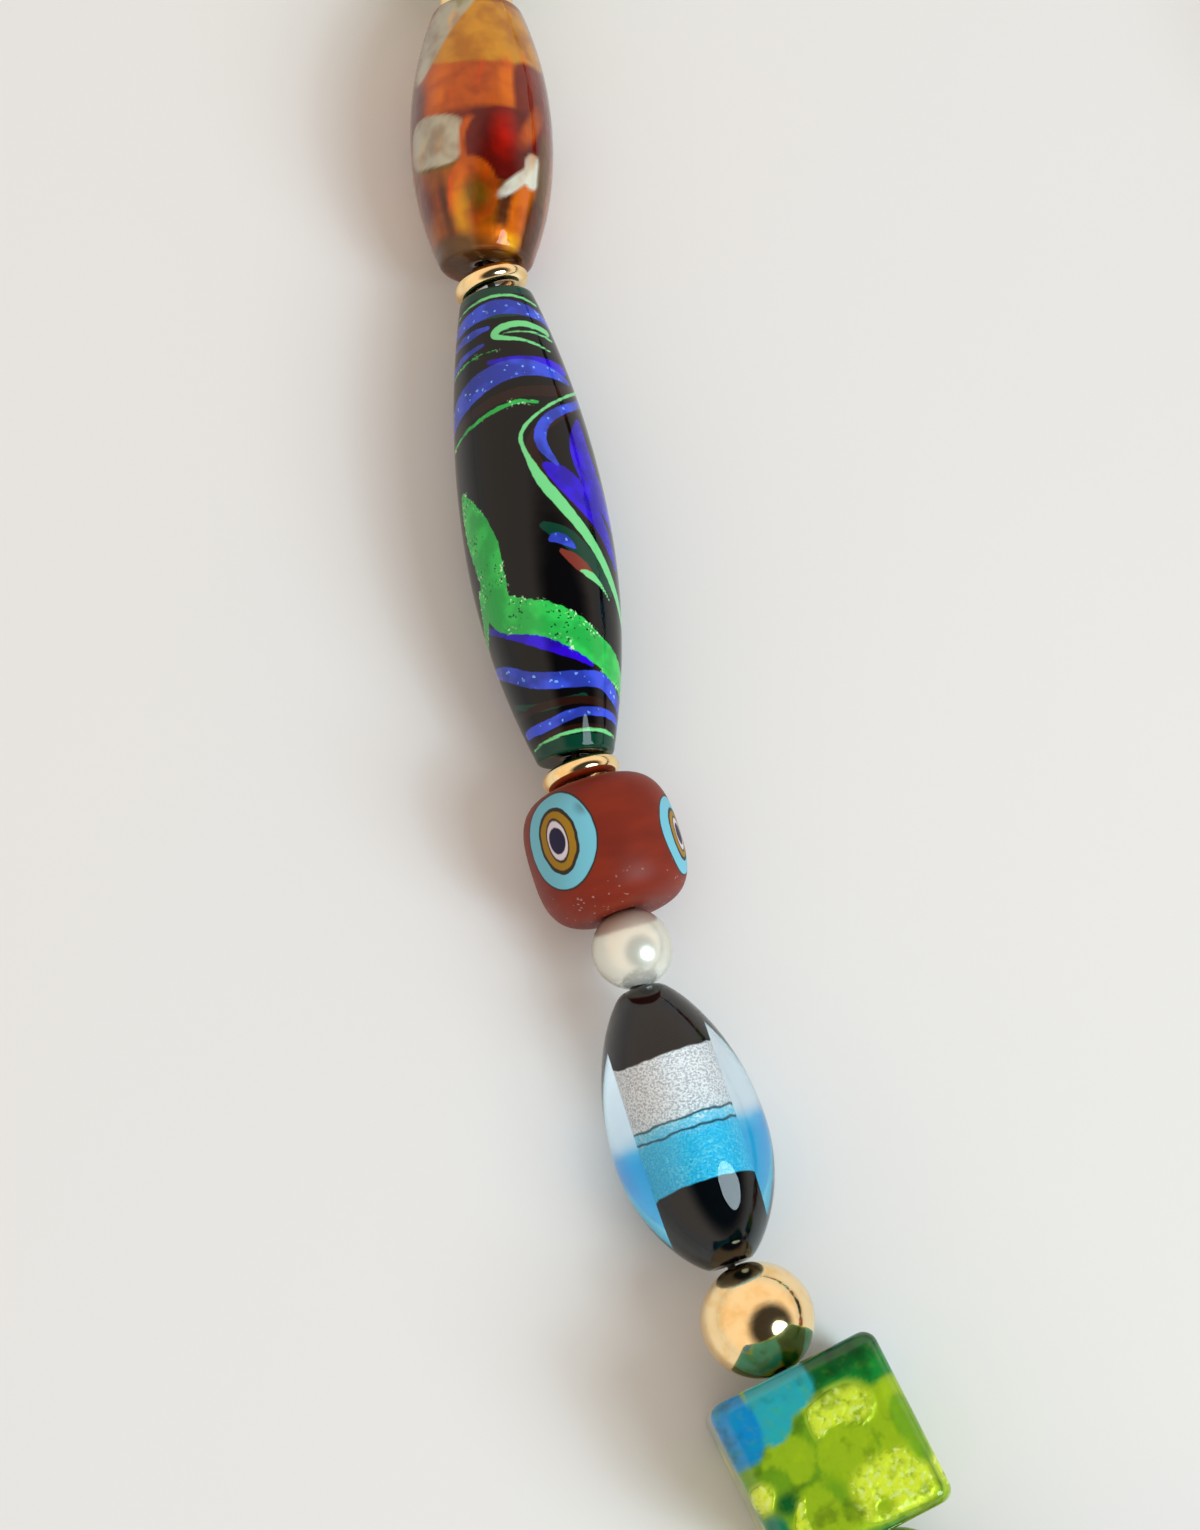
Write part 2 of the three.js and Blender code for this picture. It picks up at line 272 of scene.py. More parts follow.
print("kinds of piece:", sorted({node.rstrip("_0123456789") for node in places}))

# %% [markdown]
# ## Shader maths as Python
# A finish is a web of small nodes. Wrapping a socket in a class with the usual operators lets a mask be written as
# maths, such as 1 - mask, and each operator adds its Math node. One method makes every other node.

# %% Values and finishes
class Value:
    """A socket's output: Python's operators on it add Math nodes to its material."""

    def __init__(self, finish, socket):
        self.finish, self.socket = finish, socket

    def maths(self, operation, first, second=0.0):
        return self.finish.node("Math", {"operation": operation}, {0: first, 1: second})

    def __add__(self, other):
        return self.maths("ADD", self, other)

    def __sub__(self, other):
        return self.maths("SUBTRACT", self, other)

    def __rsub__(self, other):
        return self.maths("SUBTRACT", other, self)

    def __mul__(self, other):
        return self.maths("MULTIPLY", self, other)

    __radd__, __rmul__ = __add__, __mul__

    def rises(self, low, high):
        """0 below low, 1 above high, and a smooth step between them; low may be above high, and then it falls."""
        return self.finish.node("MapRange", {"interpolation_type": "SMOOTHSTEP"}, {0: self, 1: low, 2: high})


class Finish:
    """A material, or the light of the room, that is being built from nodes."""

    def __init__(self, name, kind=bpy.data.materials):
        self.owner = kind.new(name)
        self.owner.use_nodes = True
        self.tree = self.owner.node_tree
        self.tree.nodes.clear()

    def node(self, kind, settings=None, sockets=None, output=0):
        """Adds a node: its settings first, then the values or links of its sockets, and gives one of its outputs."""
        made = self.tree.nodes.new("ShaderNode" + kind)
        for key, value in (settings or {}).items():
            setattr(made, key, value)
        for key, value in (sockets or {}).items():
            if isinstance(value, Value):
                self.tree.links.new(value.socket, made.inputs[key])
            else:
                made.inputs[key].default_value = value
        return Value(self, made.outputs[output]) if made.outputs else None

    def field(self, name):
        """A number kept on the piece's points."""
        return self.node("Attribute", {"attribute_name": name}, output=2)

    def paint(self):
        """The colour kept on the piece's points."""
        return self.node("Attribute", {"attribute_name": "paint"}, output=0)

    def own(self, stretch=(1, 1, 1)):
        """The bead's own coordinates in mm, stretched by these factors."""
        place = self.node("Attribute", {"attribute_name": "bead"}, output=1)
        return self.node("Mapping", {}, {0: place, 3: stretch})

    def along(self):
        """The place along the thread in mm, from the bead's middle."""
        return self.node("SeparateXYZ", {}, {0: self.own()}, output=1)

    def facing(self, blend):
        """0 where the surface is seen straight on, and 1 at its rim."""
        return self.node("LayerWeight", {}, {"Blend": blend}, output=1)

    def noise(self, scale, detail=2.0, stretch=(1, 1, 1)):
        """Smooth noise from 0 to 1, with about that many swells per mm."""
        return self.node("TexNoise", {}, {"Vector": self.own(stretch), "Scale": scale, "Detail": detail})

    def object_noise(self, scale):
        """Smooth noise over the object's own space, with about that many swells per metre."""
        place = self.node("TexCoord", {}, output=3)
        return self.node("TexNoise", {}, {"Vector": place, "Scale": scale, "Detail": 3.0})

    def cells(self, scale):
        """A random number from 0 to 1 for each cell of a broken-up surface, with about that many cells per mm."""
        cell = self.node("TexVoronoi", {}, {"Vector": self.own(), "Scale": scale}, output=1)
        return self.node("SeparateColor", {}, {0: cell})

    def mix(self, below, above, mask, blend="MIX"):
        """The colour above laid over the colour below where the mask is 1."""
        return self.node("Mix", {"data_type": "RGBA", "blend_type": blend}, {0: mask, 6: below, 7: above}, output=2)

    def bump(self, height, depth):
        """A relief of that depth in mm where the height goes from 0 to 1."""
        return self.node("Bump", {}, {"Strength": 1.0, "Distance": depth * MM, "Height": height})

    def surface(self, clear=None, **sockets):
        """The material's surface: one Principled shader with these sockets, underscores standing for spaces.
        Glass is given the colour that it lets a lamp's light through with, so that its shadow is a clear one."""
        named = {key.replace("_", " "): value for key, value in sockets.items()}
        shader = self.node("BsdfPrincipled", {}, named)
        if clear:
            shadow_ray = self.node("LightPath", output=1)
            passing = self.node("BsdfTransparent", {}, {"Color": clear})
            shader = self.node("MixShader", {}, {0: shadow_ray, 1: shader, 2: passing})
        self.node("OutputMaterial", {}, {0: shader})
        return self.owner


def rgb(red, green, blue):
    """A colour as a picture shows it, 0 to 255, turned into the linear light that Blender counts in."""
    share = np.array([red, green, blue]) / 255
    linear = np.where(share <= 0.04045, share / 12.92, ((share + 0.055) / 1.055) ** 2.4)
    return (*linear.tolist(), 1.0)


print("mid grey:", [round(c, 3) for c in rgb(128, 128, 128)[:3]])

# %% [markdown]
# ## Painting with hot glass
# A glassmaker draws on a bead with thin rods of coloured glass. Each trail is a short list of touches: the turn about
# the thread in degrees, 0 on top and positive to the inside of the loop, the place along the thread in mm, and half
# the trail's width. What the mesh keeps is the distance to the trail's edge, which stays smooth between the points,
# so that the finish can cut a crisp edge from it.

# %% Trails on a bead
def rounded(path, rounds=3):
    """Cuts the corners off an open path, over and over: each side gives its points at a quarter and three quarters."""
    path = np.array(path, float)
    for _ in range(rounds):
        a, b = path[:-1], path[1:]
        cut = np.stack([0.75 * a + 0.25 * b, 0.25 * a + 0.75 * b], axis=1).reshape(-1, path.shape[1])
        path = np.vstack([path[:1], cut, path[-1:]])
    return path


def on_side(side, turn, along):
    """The point of a bead's side at a turn in degrees and a place along the thread."""
    radius = np.interp(along, side[:, 1], side[:, 0])
    turn = np.radians(turn)
    return np.stack([radius * np.sin(turn), along, radius * np.cos(turn)], axis=-1)


def round_way(turn):
    """The direction round the thread at a turn in degrees."""
    angle = math.radians(turn)
    return np.array([math.cos(angle), 0.0, -math.sin(angle)])


def trail(points, side, path):
    """Distance from every point to the trail's edge: the least to its straight pieces, less half its width there."""
    turn, along, half = rounded(path).T
    line = on_side(side, turn, along)
    least = np.full(len(points), FAR)
    for a, b, wide, narrow in zip(line[:-1], line[1:], half[:-1], half[1:]):
        step = b - a
        share = np.clip((points - a) @ step / (step @ step + 1e-9), 0, 1)
        gap = np.linalg.norm(points - a - share[:, None] * step, axis=1)
        least = np.minimum(least, gap - (wide + (narrow - wide) * share))
    return least


def trails(points, side, paths):
    """The nearest of several trails."""
    return np.min([trail(points, side, path) for path in paths], axis=0)


print("a corner, cut once:", rounded([(0, 0), (1, 0), (1, 1)], rounds=1).tolist())

# %% [markdown]
# ## Dabs of foil
# The amber and the green beads are patched with metal leaf of many colours under clear glass. A patch is a dab: its
# middle, its half sizes round and along the thread, a tilt, and its colour. Later dabs lie over earlier ones.

# %% Dabs of colour
ROUND, SQUARE = {"corner": 2.0}, {"corner": 4}
PATCH_DEPTH = 2.2


def dab(paint, points, colour, middle, round_axis, half, tilt=0.0, soft=0.18, corner=2.6):
    """Lays one patch over the paint: inside where |across| ** corner + |along| ** corner, in half sizes, is under 1."""
    thread = np.array([0.0, 1.0, 0.0])
    normal = np.cross(round_axis, thread)
    c, s = math.cos(math.radians(tilt)), math.sin(math.radians(tilt))
    away = points - middle
    across = away @ (c * round_axis + s * thread) / half[0]
    along = away @ (c * thread - s * round_axis) / half[1]
    depth = away @ normal / (PATCH_DEPTH * max(half))
    size = (np.abs(across) ** corner + np.abs(along) ** corner + np.abs(depth) ** corner) ** (1 / corner)
    inside = np.clip(0.5 + (1 - size) * min(half) / soft, 0, 1)[:, None]
    paint[:] = paint * (1 - inside) + np.array(colour) * inside


def dab_on_side(paint, points, side, colour, turn, along, half, **how):
    """A dab on a turned bead, at a turn in degrees and a place along the thread."""
    dab(paint, points, colour, on_side(side, turn, along), round_way(turn), half, **how)


print("the way round at 90 degrees:", round_way(90).round(2).tolist())

# %% [markdown]
# ## Clear glass
# Thick glass bends light: a core inside it looks half as wide again as it is, and the plate shows through its rim.
# That is left to the renderer, with a real closed shell of glass round the core, so it holds from every side. Only
# the lamp's light is let straight through, because the renderer would otherwise give clear glass a solid shadow.

# %% Glass
GLASS_IOR = 1.5


def glass(name, colour, clear):
    """Clear or tinted glass, melted smooth."""
    finish = Finish(name)
    return finish.surface(clear, Base_Color=colour(finish), Roughness=0.0, IOR=GLASS_IOR, Transmission_Weight=1.0)


print("a core looks up to", GLASS_IOR, "times as wide inside a round bead of glass")

# %% [markdown]
# ## Foil barrel
# A long amber bead, patched with gold, copper and silver leaf under honey-coloured glass. The leaf is painted on the
# bead's one surface, under a clear coat. The patches are read from the photograph one by one: their place, size and
# colour. The further side is patched in the same manner, from the same leaf.

# %% Amber leaf
SILVER, GOLD, COPPER, WINE = rgb(188, 182, 160), rgb(206, 140, 28), rgb(190, 84, 2), rgb(120, 32, 8)
RED, DEEP_RED, WHITE_LEAF = rgb(216, 24, 0), rgb(104, 8, 0), rgb(228, 228, 212)
AMBER, BROWN, OLIVE, GLINT = rgb(158, 82, 0), rgb(84, 38, 4), rgb(120, 82, 4), rgb(255, 190, 0)
# PLUM_RIM_SHADE and SMOKE_EDGE_SHADE dabs lie at the bead's rims and lower end: painted shade of thick glass seen
# edge-on.
SMOKE_EDGE_SHADE, ORANGE, PLUM_RIM_SHADE = rgb(100, 66, 26), rgb(218, 106, 0), rgb(108, 38, 18)

FRONT_LEAF = [
    (COPPER, -6, -2.0, (4.4, 2.9), SQUARE), (GOLD, 14, -7.2, (5.0, 3.1), SQUARE),
    (ORANGE, -34, -2.2, (0.9, 2.0), {"soft": 0.8}), (ORANGE, 25, -2.2, (0.7, 2.0), {"soft": 0.5}),
    (WINE, 57, -0.8, (2.6, 3.8), {"corner": 4, "soft": 0.3}), (PLUM_RIM_SHADE, -66, -1.0, (1.6, 3.0), {"soft": 0.8}),
    (SILVER, -46, -7.8, (1.7, 4.4), {"tilt": 26, "corner": 3}), (SILVER, -72, -6.8, (1.6, 2.2), {"corner": 3}),
    (DEEP_RED, 16, 0.6, (4.0, 0.6), {"soft": 0.6}), (AMBER, -48, 8.0, (3.0, 3.6), SQUARE),
    (PLUM_RIM_SHADE, -64, 7.6, (1.1, 3.0), {"soft": 0.9}), (AMBER, -9, 9.6, (4.4, 2.4), {"soft": 1.0}),
    (AMBER, 12, 9.0, (2.2, 3.0), {"soft": 0.8}), (BROWN, -38, 7.6, (0.35, 2.2), {"soft": 0.5}),
    (BROWN, 29, 8.6, (1.2, 3.0), {"soft": 0.6}), (ORANGE, 46, 8.4, (1.5, 2.6), {"soft": 0.5}),
    (BROWN, 62, 9.0, (1.2, 3.0), {"soft": 0.6}), (OLIVE, -44, 2.6, (2.8, 2.0), {"tilt": 12, "corner": 3}),
    (SILVER, -43, 2.1, (2.9, 2.1), {"tilt": 12, "corner": 3.4}), (COPPER, -8, 3.2, (0.9, 2.4), {}),
    (DEEP_RED, 21, 3.0, (3.1, 3.0), {"corner": 2.2}), (COPPER, 46, 1.2, (0.7, 2.0), {"tilt": 30, "soft": 0.5}),
    (RED, 21, 2.3, (0.7, 1.1), {"corner": 2.0, "soft": 1.8}), (COPPER, -9, 6.7, (2.0, 2.6), ROUND),
    (ORANGE, -22, 6.4, (0.5, 1.6), {"tilt": 20, "soft": 0.5}),
    (OLIVE, -6, 7.1, (1.1, 1.3), {"corner": 2.0, "soft": 1.0}),
    (WHITE_LEAF, 33, 5.9, (1.9, 0.5), {"tilt": -42}), (WHITE_LEAF, 48, 4.8, (0.9, 1.4), {"corner": 2.4}),
    # GLINT dabs and the soft ORANGE dab 10.2 mm along are painted glints and glow near the lower end.
    (SMOKE_EDGE_SHADE, 64, 4.2, (0.9, 3.0), {}), (GLINT, -21, 9.9, (0.35, 1.6), {"soft": 1.2}),
    (ORANGE, 8, 10.2, (1.6, 0.7), {"soft": 0.8}), (GLINT, 34, 10.6, (0.5, 0.5), {"soft": 1.0}),
    (SMOKE_EDGE_SHADE, -52, 10.6, (3.2, 0.9), {"soft": 0.6}), (BROWN, -10, 11.7, (6.0, 0.5), {"soft": 0.6}),
]
BACK_LEAF = [
    (WINE, 85, -7.0, (1.6, 3.0), {}), (GOLD, 110, 3.0, (2.6, 2.6), {}), (COPPER, 100, -2.6, (2.2, 2.8), {}),
    (SILVER, 138, -4.0, (2.0, 2.4), {"corner": 3.2}), (RED, 150, 6.0, (1.6, 2.0), ROUND),
    (GOLD, 180, -7.5, (3.0, 2.4), {}), (ORANGE, 180, 1.2, (2.0, 3.0), {}), (AMBER, 105, 9.0, (2.6, 2.4), {}),
    (SILVER, 205, 5.6, (2.2, 2.0), {"tilt": 20}), (WINE, 222, -2.2, (2.0, 3.0), {}), (BROWN, 168, 10.4, (3.0, 1.6), {}),
    (GOLD, 250, 3.0, (2.2, 2.6), {}), (COPPER, 258, -5.6, (2.0, 3.0), {}), (RED, 284, 0.0, (1.1, 2.4), {}),
    (OLIVE, 236, 9.0, (2.4, 1.8), ROUND), (WINE, 290, 7.6, (1.2, 3.4), {}),
]


def leaf_paint(points, side, patches, ground):
    """The ground colour with every dab laid over it in turn: leaf, and the painted shade, glints and glow among it."""
    paint = np.tile(ground, (len(points), 1)).astype(float)
    for colour, turn, along, half, how in patches:
        dab_on_side(paint, points, side, colour, turn, along, half, **how)
    return paint


def amber_finish():
    """Leaf under amber glass, cloudy and streaked along the bead, with a hard clear coat on top; painted shade darkens
    the low places of its relief and its edge, and painted sheen lightens its streaks.
    """
    finish = Finish("amber_foil_glass")
    leaf = finish.paint()
    cloud = finish.noise(0.45, 2.0)
    streak = finish.noise(0.9, 3.0, (1.0, 0.25, 1.0))
    # Painted shade where the cloud, which also sets the relief, is low; then painted orange sheen along the streaks.
    shade = finish.mix(leaf, rgb(170, 96, 40), cloud.rises(0.6, 0.3) * 0.5, "MULTIPLY")
    shade = finish.mix(shade, rgb(255, 176, 0), streak.rises(0.56, 0.74) * 0.4, "OVERLAY")
    rim = finish.facing(0.35)
    # Painted shade towards the rim, standing for thick glass seen edge-on.
    shade = finish.mix(shade, rgb(150, 60, 24), rim.rises(0.45, 0.95) * 0.9, "MULTIPLY")
    relief = finish.bump(cloud + streak * 0.4, 0.16)
    return finish.surface(Base_Color=shade, Metallic=0.35, Roughness=0.36, Specular_IOR_Level=0.1, Normal=relief,
                          Coat_Weight=1.0, Coat_Roughness=0.02, Coat_IOR=1.4)


barrel_points, barrel_faces = turned(drilled(BARREL_SIDE, mouth=1, depth=0.4, reach=0.4), SIDES["barrel"])
barrel_paint = leaf_paint(barrel_points, BARREL_SIDE, BACK_LEAF + FRONT_LEAF, AMBER)
put_kind("foil_barrel", [(barrel_points, barrel_faces, {"paint": barrel_paint})],
         [amber_finish()], step=130)
print("patches of leaf:", len(FRONT_LEAF + BACK_LEAF))

# %% [markdown]
# ## Swirl spindle
# Black glass with feathered trails of blue, violet and green, and a broad band of glittering green. The trails were
# laid in loops and dragged, so most of them run round the bead and bend back on its inner side. Each colour has its
# own distance field, and the finish lays one colour over the other. The glitter is in the green: small bright flakes,
# painted in as pale specks that stand for glints, and the blue has a few painted sparks as well.

# %% Trails of the spindle
SWIRLS = {
    "brown": [
        [(-95, -6.6, 0.3), (-50, -8.0, 0.35), (-3, -9.0, 0.45), (40, -8.9, 0.5), (90, -10, 0.3)],
        [(75, -8.6, 0.3), (30, -6.6, 0.4), (4, -4.9, 0.45), (8, -2.6, 0.35), (30, 0.2, 0.3), (62, 4.0, 0.2)],
        [(-80, 15.6, 0.25), (-20, 15.4, 0.3), (30, 15.5, 0.3), (80, 16.6, 0.25)],
        [(-60, 17.9, 0.2), (0, 17.3, 0.25), (50, 17.6, 0.2)],
    ],
    "teal": [
        [(4, 2.2, 0.3), (20, 3.2, 0.8), (38, 5.0, 0.7), (58, 7.4, 0.3)],
        [(-70, 14.6, 0.2), (-30, 15.7, 0.35), (20, 15.2, 0.2)],
        [(-70, -16.6, 0.2), (0, -15.9, 0.25), (60, -16.4, 0.2)],
        [(-60, 18.7, 0.7), (0, 18.6, 0.8), (60, 18.7, 0.7), (180, 18.6, 0.8), (300, 18.7, 0.7)],
        [(-60, -18.6, 0.6), (0, -18.7, 0.7), (60, -18.6, 0.6), (180, -18.7, 0.7), (300, -18.6, 0.6)],
    ],
    "violet": [
        [(58, -6.6, 0.3), (50, -4.4, 1.2), (54, -2.0, 1.4), (70, 0.4, 1.1), (95, 2.6, 0.5)],
        [(14, -2.6, 0.3), (26, -1.6, 1.0), (40, 0.0, 1.05), (58, 2.2, 0.8), (74, 4.8, 0.5)],
        [(-68, 8.6, 0.2), (-34, 9.9, 0.5), (-4, 11.2, 0.7), (22, 12.3, 0.55), (30, 13.0, 0.15)],
        [(-20, -12.0, 0.2), (30, -11.6, 0.5), (60, -11.2, 0.5)],
        [(150, -4, 0.5), (190, -1, 0.9), (240, 3, 0.4)],
    ],
    "blue": [
        [(-75, -15.9, 0.5), (-30, -16.6, 0.7), (0, -16.9, 0.75), (40, -16.4, 0.6), (80, -15.6, 0.4)],
        [(-80, -14.6, 0.2), (-45, -14.9, 0.4), (-18, -15.1, 0.2)],
        [(-90, -12.4, 0.35), (-55, -13.3, 0.32), (-25, -13.7, 0.15)],
        [(-100, -7.6, 0.5), (-62, -9.4, 1.05), (-25, -10.7, 0.95), (8, -11.2, 0.8), (36, -10.8, 0.6), (62, -10.2, 0.3)],
        [(78, -8.8, 0.3), (52, -7.8, 0.35), (24, -6.7, 0.4), (13, -5.2, 0.5), (15, -3.9, 0.45), (24, -2.6, 0.15)],
        [(7, 3.4, 0.15), (12, 3.2, 0.45), (20, 3.6, 0.4), (26, 4.2, 0.1)],
        [(-100, 11.2, 0.3), (-65, 12.0, 0.6), (-28, 13.7, 0.62), (14, 14.0, 0.62),
         (40, 14.0, 0.6), (64, 15.2, 0.55), (95, 16.6, 0.3)],
        [(-70, 16.9, 0.35), (-28, 16.9, 0.42), (10, 16.3, 0.36), (50, 16.4, 0.3), (90, 17.2, 0.25)],
        [(120, -13, 0.3), (165, -11, 0.7), (210, -10, 0.5), (255, -8, 0.4)],
        [(130, 11, 0.4), (180, 12.6, 0.7), (230, 11.6, 0.5)],
        [(110, -4, 0.3), (140, 1.6, 0.5), (190, 5.2, 0.4), (235, 8.2, 0.3)],
    ],
    "pale": [
        [(-80, -17.1, 0.08), (-20, -17.9, 0.12), (20, -17.9, 0.14), (60, -17.2, 0.12)],
        [(58, -14.6, 0.3), (24, -15.2, 0.28), (-4, -14.9, 0.3), (-13, -14.3, 0.3),
         (-4, -13.9, 0.22), (20, -13.6, 0.14), (50, -12.7, 0.1)],
        [(62, -13.9, 0.12), (30, -14.4, 0.1), (0, -14.4, 0.08)],
        [(80, -9.8, 0.1), (50, -8.7, 0.12), (22, -7.4, 0.1), (2, -6.0, 0.16), (-3, -4.9, 0.16), (1, -3.4, 0.18)],
        [(1, -3.5, 0.2), (7, -1.6, 0.45), (18, 0.2, 0.5), (32, 2.2, 0.45),
         (48, 4.4, 0.4), (66, 7.2, 0.4), (90, 10.0, 0.3)],
        [(-70, 18.1, 0.08), (-10, 17.7, 0.12), (30, 17.6, 0.14), (70, 18.0, 0.12)],
        [(28, 5.9, 0.1), (36, 6.2, 0.35), (44, 6.7, 0.2), (56, 8.0, 0.08)],
        [(120, 3, 0.2), (160, 0, 0.4), (200, -4, 0.3), (250, -6.4, 0.15)],
    ],
    "green": [
        [(-95, -6.0, 0.1), (-50, -7.1, 0.13), (-18, -7.9, 0.16), (5, -8.2, 0.2), (22, -7.9, 0.1)],
        [(-80, -12.2, 0.1), (-40, -12.9, 0.12), (-10, -12.9, 0.06)],
        [(-66, -2.0, 0.5), (-58, 0.2, 1.4), (-50, 2.6, 1.7), (-47, 5.4, 1.3), (-50, 7.6, 1.5), (-34, 8.5, 1.35),
         (-10, 9.1, 1.3), (12, 10.2, 1.3), (32, 11.6, 1.1), (56, 12.9, 1.1), (90, 14.6, 0.7), (125, 15.4, 0.2)],
        [(140, 7.6, 0.3), (175, 8.6, 1.0), (215, 6.2, 0.8), (245, 3.0, 0.3)],
        [(-64, 6.0, 0.6), (-70, 8.0, 0.6), (-90, 9.6, 0.3)],
    ],
    "maroon": [
        [(14, 4.3, 0.15), (22, 4.9, 0.5), (32, 5.8, 0.5), (40, 6.5, 0.2)],
    ],
}
SWIRL_COLOURS = [
    ("teal", rgb(8, 62, 46)), ("brown", rgb(40, 18, 12)), ("violet", rgb(50, 10, 222)), ("blue", rgb(60, 84, 226)),
    ("maroon", rgb(128, 54, 44)), ("pale", rgb(118, 218, 140)), ("green", rgb(52, 206, 88)),
]


def swirl_finish():
    """Trails cut from their distance fields, lightly wavering at the edge, laid one over another on black glass, with
    glitter painted in as pale glints.
    """
    finish = Finish("black_swirl_glass")
    waver = finish.noise(1.6, 3.0) * 0.5 - 0.25
    grit = finish.cells(6.5)
    colour, flakes = rgb(7, 6, 8), None
    for name, paint in SWIRL_COLOURS:
        edge = finish.field(name) + waver * (0.9 if name == "green" else 0.35)
        mask = edge.rises(0.05, -0.05)
        if name in ("blue", "violet", "green"):
            paint = finish.mix(paint, rgb(10, 8, 60) if name != "green" else rgb(24, 140, 60),
                               finish.noise(0.5, 2.0).rises(0.62, 0.4) * 0.5)
        colour = finish.mix(colour, paint, mask)
        if name == "green":
            body = edge.rises(0.25, -0.1) * edge.rises(-0.75, -0.15)
            patchy = finish.noise(0.45, 1.0).rises(0.42, 0.6)
            flakes = grit.rises(0.86, 0.9) * body * patchy
            colour = finish.mix(colour, rgb(14, 84, 40), grit.rises(0.12, 0.07) * edge.rises(0.0, -0.3) * patchy)
            # Painted glints: pale flakes of glitter in the green.
            colour = finish.mix(colour, rgb(206, 255, 200), flakes)
    # Painted glints: pale blue sparks in the blue trails.
    sparks = finish.field("blue").rises(0.0, -0.3) * finish.cells(5.1).rises(0.965, 0.975)
    colour = finish.mix(colour, rgb(120, 180, 255), sparks)
    return finish.surface(Base_Color=colour, Roughness=0.04 + 0.2 * flakes, IOR=1.5, Specular_IOR_Level=0.32,
                          Normal=finish.bump(finish.noise(0.6, 1.0), 0.02))


spindle_points, spindle_faces = turned(drilled(SPINDLE_SIDE, mouth=1, depth=0.4), SIDES["spindle"])
spindle_fields = {name: trails(spindle_points, SPINDLE_SIDE, paths) for name, paths in SWIRLS.items()}
put_kind("swirl_spindle", [(spindle_points, spindle_faces, spindle_fields)],
         [swirl_finish()], step=150, flip_odd=True)
print("trails:", sum(map(len, SWIRLS.values())))

# %% [markdown]
# ## Eye bead
# A traditional eye bead in matt red glass. Each eye is a stack of flattened dots: light blue, ochre, white and dark
# blue, with a thin dark line where two glasses meet. The red was etched, so it shines softly, and it is streaked
# round the thread where the glass was wound.

# %% Eyes and their finish
EYES = ((-37, -0.7, 1.0), (71.5, 0.75, 0.83), (192, -0.35, 0.95))
EYE_DOTS = {"disc": (2.95, 3.6), "ochre": (1.5, 2.2), "white": (0.84, 1.52), "pupil": (0.7, 1.05)}
EYE_DEPTH = 5
GREY_PATCH_AT = (-1.0, -2.4, 5.3)


def eye_fields(points):
    """For each dot, the distance to its edge: (size in half widths - 1) times its half width, for the nearest eye."""
    fields = {name: np.full(len(points), FAR) for name in EYE_DOTS}
    for turn, along, scale in EYES:
        round_axis = round_way(turn)
        away = points - on_side(EYE_SIDE, turn, along)
        for name, (across, high) in EYE_DOTS.items():
            flat = np.hypot(away @ round_axis / across, away[:, 1] / high) / scale
            behind = np.where(away @ np.cross(round_axis, [0, 1, 0]) < -EYE_DEPTH, FAR, 0.0)
            fields[name] = np.minimum(fields[name], (flat - 1) * across + behind)
    return fields


def eye_finish():
    """Etched red glass with the eyes' dots laid on it, each with a thin dark rim."""
    finish = Finish("brick_red_glass")
    wound = finish.noise(0.25, 2.0, (1.0, 3.0, 1.0))
    colour = finish.mix(rgb(122, 32, 10), rgb(134, 38, 12), wound.rises(0.3, 0.75))
    colour = finish.mix(colour, rgb(98, 24, 12), finish.noise(0.3, 1.0).rises(0.5, 0.25) * 0.3)
    waver = finish.noise(0.9, 3.0) * 0.3 - 0.15
    dots = [("disc", rgb(118, 196, 218), 0.09), ("ochre", rgb(164, 122, 20), 0.2),
            ("white", rgb(226, 214, 226), 0.09), ("pupil", rgb(26, 20, 56), 0.0)]
    for name, paint, rim in dots:
        edge = finish.field(name) + waver * (0.8 if name == "ochre" else 0.4)
        colour = finish.mix(colour, rgb(44, 34, 26), edge.rises(rim + 0.05, rim - 0.02) if rim else 0.0)
        colour = finish.mix(colour, paint, edge.rises(0.04, -0.05))
    # A grey patch laid over the disc of an eye, near the bead's top.
    grey_patch = finish.node("VectorMath", {"operation": "DISTANCE"},
                         {0: finish.own(), 1: GREY_PATCH_AT}, output=1)
    colour = finish.mix(colour, rgb(58, 62, 70), grey_patch.rises(0.95, 0.1) * 0.55 * finish.field("disc").rises(0.0, -0.2))
    grain = finish.noise(9.0, 3.0)
    dust = finish.cells(7.0).rises(0.985, 0.99) * finish.along().rises(2.0, 4.4)
    colour = finish.mix(colour, rgb(214, 196, 186), dust * 0.35)
    return finish.surface(Base_Color=colour, Roughness=0.42 + 0.12 * grain, IOR=1.5,
                          Specular_IOR_Level=0.28, Normal=finish.bump(grain, 0.006))


eye_points, eye_faces = turned(drilled(EYE_SIDE, mouth=1.9, depth=0.45, reach=0.12), SIDES["eye"])
put_kind("eye_bead", [(eye_points, eye_faces, eye_fields(eye_points))], [eye_finish()], step=47)
print("eyes on each:", len(EYES))

# %% [markdown]
# ## Core oval
# A slim core runs the length of this bead: black glass, silver leaf, blue leaf and black again. Round it is thick
# glass, clear at one end and azure at the other. The glass magnifies the core half as much again.

# %% Core and glass of the oval
CORE_RADIUS, CORE_END = 2.5, 10.0
CORE_BORE = BORE + 0.12
CORE_POINTS = 140


def core_outline():
    """The core: as wide as its glass allows near the ends, with rounded shoulders, and straight between them."""
    along = np.linspace(-CORE_END, CORE_END, CORE_POINTS)
    room = np.interp(along, OVAL_SIDE[:, 1], OVAL_SIDE[:, 0]) - 0.16
    side = np.stack([np.minimum(CORE_RADIUS + 0.06 * along / CORE_END, room * 0.86), along], axis=1)
    return melted(np.vstack([side, [[CORE_BORE, CORE_END], [CORE_BORE, -CORE_END]]]), reach=0.2, step=0.3)


